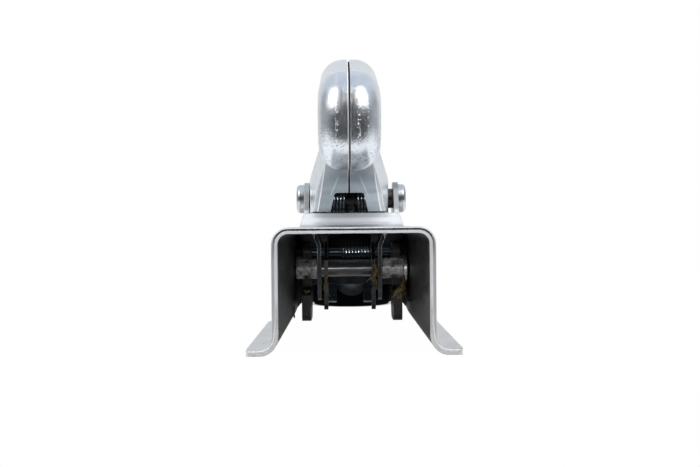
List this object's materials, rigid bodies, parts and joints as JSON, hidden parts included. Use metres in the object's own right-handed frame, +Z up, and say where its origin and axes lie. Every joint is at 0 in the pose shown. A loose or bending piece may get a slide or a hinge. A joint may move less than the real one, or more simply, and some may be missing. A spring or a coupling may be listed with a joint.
{
  "type": "trailer coupling head",
  "caption": "Pressed-steel trailer coupling head: channel for a square drawbar, ball cup, sprung jaw and a hollow folded handle that locks it.",
  "frame": {"origin": "centre of the tow ball when it is seated in the cup", "axes": "+Y towards the towing vehicle, +Z up, +X to the right when seen from the drawbar end"},
  "size_m": [0.1004, 0.2025, 0.1486],
  "materials": {
    "zinc_housing": "zinc plated pressing, satin",
    "zinc_handle": "bright zinc plated sheet, fine press marks",
    "zinc_fastener": "bright zinc plated",
    "spring_steel": "oiled spring wire",
    "jaw_steel": "dark zinc plated, greasy",
    "sheet_steel": "zinc plated sheet, greasy"
  },
  "bodies": {
    "housing": {"housing": "zinc_housing", "handle_rivet": "zinc_fastener", "pivot_bush": "zinc_fastener", "handle_spring_left": "spring_steel", "handle_spring_right": "spring_steel", "jaw_pin": "zinc_fastener", "jaw_sleeve_left": "zinc_fastener", "jaw_sleeve_right": "zinc_fastener"},
    "handle": {"handle": "zinc_handle", "cross_shaft": "sheet_steel", "spacer_left": "sheet_steel", "spacer_right": "sheet_steel", "shaft_washer": "zinc_fastener"},
    "jaw": {"ball_jaw": "jaw_steel", "ball_pad": "jaw_steel", "pad_rivet": "zinc_fastener", "jaw_spring": "spring_steel"},
    "catch": {"catch_frame": "sheet_steel"}
  },
  "joints": [
    {"name": "handle_hinge", "type": "hinge", "parent": "housing", "child": "handle", "pos_m": [0, -0.052, 0.0462], "axis": [-1, 0, 0], "range_deg": [0, 45], "stiffness_Nm_per_rad": 0.6, "springref_deg": -34.38},
    {"name": "jaw_hinge", "type": "hinge", "parent": "housing", "child": "jaw", "pos_m": [0, -0.036, 0.0128], "axis": [-1, 0, 0], "range_deg": [0, 18]},
    {"name": "catch_hinge", "type": "hinge", "parent": "handle", "child": "catch", "pos_m": [0, -0.052, 0.0033], "axis": [-1, 0, 0], "range_deg": [0, 8], "stiffness_Nm_per_rad": 0.05, "springref_deg": -17.19}
  ],
  "couplings": [
    {"joint": "jaw_hinge", "follows": "handle_hinge", "ratio": 0.4}
  ]
}
